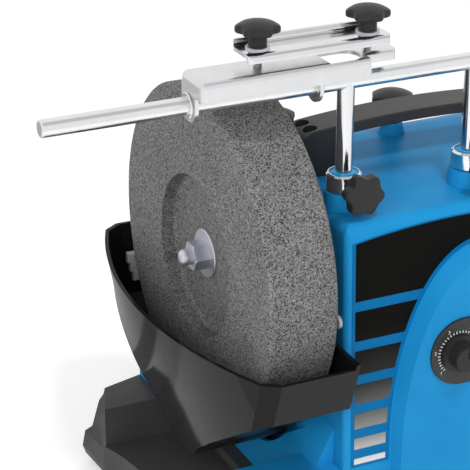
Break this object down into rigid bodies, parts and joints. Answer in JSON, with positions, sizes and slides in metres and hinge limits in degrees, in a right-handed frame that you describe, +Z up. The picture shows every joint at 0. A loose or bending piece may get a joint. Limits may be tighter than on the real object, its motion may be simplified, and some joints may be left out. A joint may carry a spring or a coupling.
{
  "type": "wet sharpening machine",
  "caption": "Wet sharpening machine: slow grinding stone in a water trough, leather honing wheel on the same shaft, and a tool support bar with a square-edge jig.",
  "frame": {"origin": "on the floor under the middle of the whole machine, at the bottom of the feet", "axes": "+X along the wheel shaft from the stone to the honing wheel, -Y to the front with the controls, +Z up"},
  "size_m": [0.467, 0.298, 0.4014],
  "materials": {
    "stone": "coarse grey grit",
    "blue_housing": "satin blue",
    "black_plastic": "satin black, fine grain",
    "knob_plastic": "matt black",
    "chrome": "bright plated",
    "zinc": "pale zinc",
    "steel": "plain steel",
    "sheet_steel": "grey paint",
    "motor_case": "cast, matt",
    "wheel_core": "dark moulded",
    "rubber": "matt",
    "leather": "smooth tan",
    "label_blue": "printed film",
    "label_stripes": "printed film, black fading to white",
    "panel": "dark",
    "board": "green laminate",
    "red_switch": "red"
  },
  "bodies": {
    "machine": {"base_frame": "black_plastic", "rubber_feet": "rubber", "base_screws": "steel", "housing_shell": "blue_housing", "housing_skirt": "blue_housing", "post_bosses": "blue_housing", "wall_screws": "steel", "rear_cover": "black_plastic", "cover_screws": "steel", "cable_gland": "black_plastic", "label_field": "label_blue", "label_stripes": "label_stripes", "control_panel": "panel", "speed_sensor": "board", "speed_board": "board", "switch_frame": "black_plastic", "left_post_sleeve": "chrome", "right_post_sleeve": "chrome", "rear_left_sleeve": "chrome", "rear_right_sleeve": "chrome", "carry_handle": "black_plastic", "handle_screws": "steel", "water_trough": "black_plastic", "trough_rail": "black_plastic", "swarf_magnet": "steel", "chassis": "sheet_steel", "shaft_bearings": "steel", "motor_bracket": "sheet_steel", "motor_body": "motor_case"},
    "grinder": {"grinding_stone": "stone", "stone_flange": "steel", "stone_washer": "zinc", "stone_nut": "zinc", "main_shaft": "steel", "drive_wheel": "wheel_core", "drive_tyre": "rubber", "honing_core": "wheel_core", "honing_leather": "leather", "honing_washer": "zinc", "honing_nut": "wheel_core"},
    "motor_rotor": {"motor_shaft": "steel", "drive_roller": "steel"},
    "support": {"support_bar": "chrome", "support_left_post": "chrome", "support_right_post": "chrome"},
    "left_clamp": {"left_clamp_knob": "knob_plastic"},
    "right_clamp": {"right_clamp_knob": "knob_plastic"},
    "rear_left_clamp": {"rear_left_knob": "knob_plastic"},
    "rear_right_clamp": {"rear_right_knob": "knob_plastic"},
    "jig_carriage": {"jig_left_bush": "steel", "jig_right_bush": "steel"},
    "jig": {"jig_base_plate": "chrome", "jig_studs": "steel"},
    "jig_clamp": {"jig_clamp_plate": "chrome", "jig_left_washer": "steel", "jig_right_washer": "steel"},
    "jig_left_screw": {"jig_left_knob": "knob_plastic"},
    "jig_right_screw": {"jig_right_knob": "knob_plastic"},
    "dial": {"speed_dial": "knob_plastic"},
    "rocker": {"switch_rocker": "red_switch"}
  },
  "joints": [
    {"name": "wheel_spin", "type": "hinge", "parent": "machine", "child": "grinder", "pos_m": [-0.1015, -0.0055, 0.21], "axis": [1, 0, 0], "continuous": true},
    {"name": "motor_spin", "type": "hinge", "parent": "machine", "child": "motor_rotor", "pos_m": [0.1, 0.01865, 0.16817], "axis": [1, 0, 0], "continuous": true},
    {"name": "support_slide", "type": "slide", "parent": "machine", "child": "support", "axis": [0, 0, 1], "range_m": [-0.012, 0.05]},
    {"name": "left_clamp_turn", "type": "hinge", "parent": "machine", "child": "left_clamp", "pos_m": [-0.0165, -0.0855, 0.2768], "axis": [0, -1, 0], "range_deg": [0, 540]},
    {"name": "right_clamp_turn", "type": "hinge", "parent": "machine", "child": "right_clamp", "pos_m": [0.0835, -0.0855, 0.2768], "axis": [0, -1, 0], "range_deg": [0, 540]},
    {"name": "rear_left_knob_turn", "type": "hinge", "parent": "machine", "child": "rear_left_clamp", "pos_m": [-0.0165, 0.0405, 0.268], "axis": [0, 0, 1], "range_deg": [0, 540]},
    {"name": "rear_right_knob_turn", "type": "hinge", "parent": "machine", "child": "rear_right_clamp", "pos_m": [0.0835, 0.0405, 0.268], "axis": [0, 0, 1], "range_deg": [0, 540]},
    {"name": "jig_slide", "type": "slide", "parent": "support", "child": "jig_carriage", "axis": [1, 0, 0], "range_m": [-0.095, 0.01]},
    {"name": "jig_tilt", "type": "hinge", "parent": "jig_carriage", "child": "jig", "pos_m": [-0.1319, -0.0685, 0.34899], "axis": [1, 0, 0], "range_deg": [-45, 45]},
    {"name": "jig_clamp_slide", "type": "slide", "parent": "jig", "child": "jig_clamp", "axis": [0, 0, 1], "range_m": [-0.006, 0]},
    {"name": "jig_left_knob_turn", "type": "hinge", "parent": "jig_clamp", "child": "jig_left_screw", "pos_m": [-0.0845, -0.0725, 0.36999], "axis": [0, 0, -1], "range_deg": [0, 2160]},
    {"name": "jig_right_knob_turn", "type": "hinge", "parent": "jig_clamp", "child": "jig_right_screw", "pos_m": [-0.0035, -0.0725, 0.36999], "axis": [0, 0, -1], "range_deg": [0, 2160]},
    {"name": "dial_turn", "type": "hinge", "parent": "machine", "child": "dial", "pos_m": [0.05125, -0.1205, 0.153], "axis": [0, 1, 0], "range_deg": [0, 270]},
    {"name": "switch_rock", "type": "hinge", "parent": "machine", "child": "rocker", "pos_m": [0.09575, -0.1205, 0.153], "axis": [1, 0, 0], "range_deg": [-18, 0]}
  ],
  "couplings": [
    {"joint": "motor_spin", "follows": "wheel_spin", "ratio": -5.8571},
    {"joint": "jig_left_knob_turn", "follows": "jig_clamp_slide", "rad_per_m": -6283.2},
    {"joint": "jig_right_knob_turn", "follows": "jig_clamp_slide", "rad_per_m": -6283.2}
  ]
}
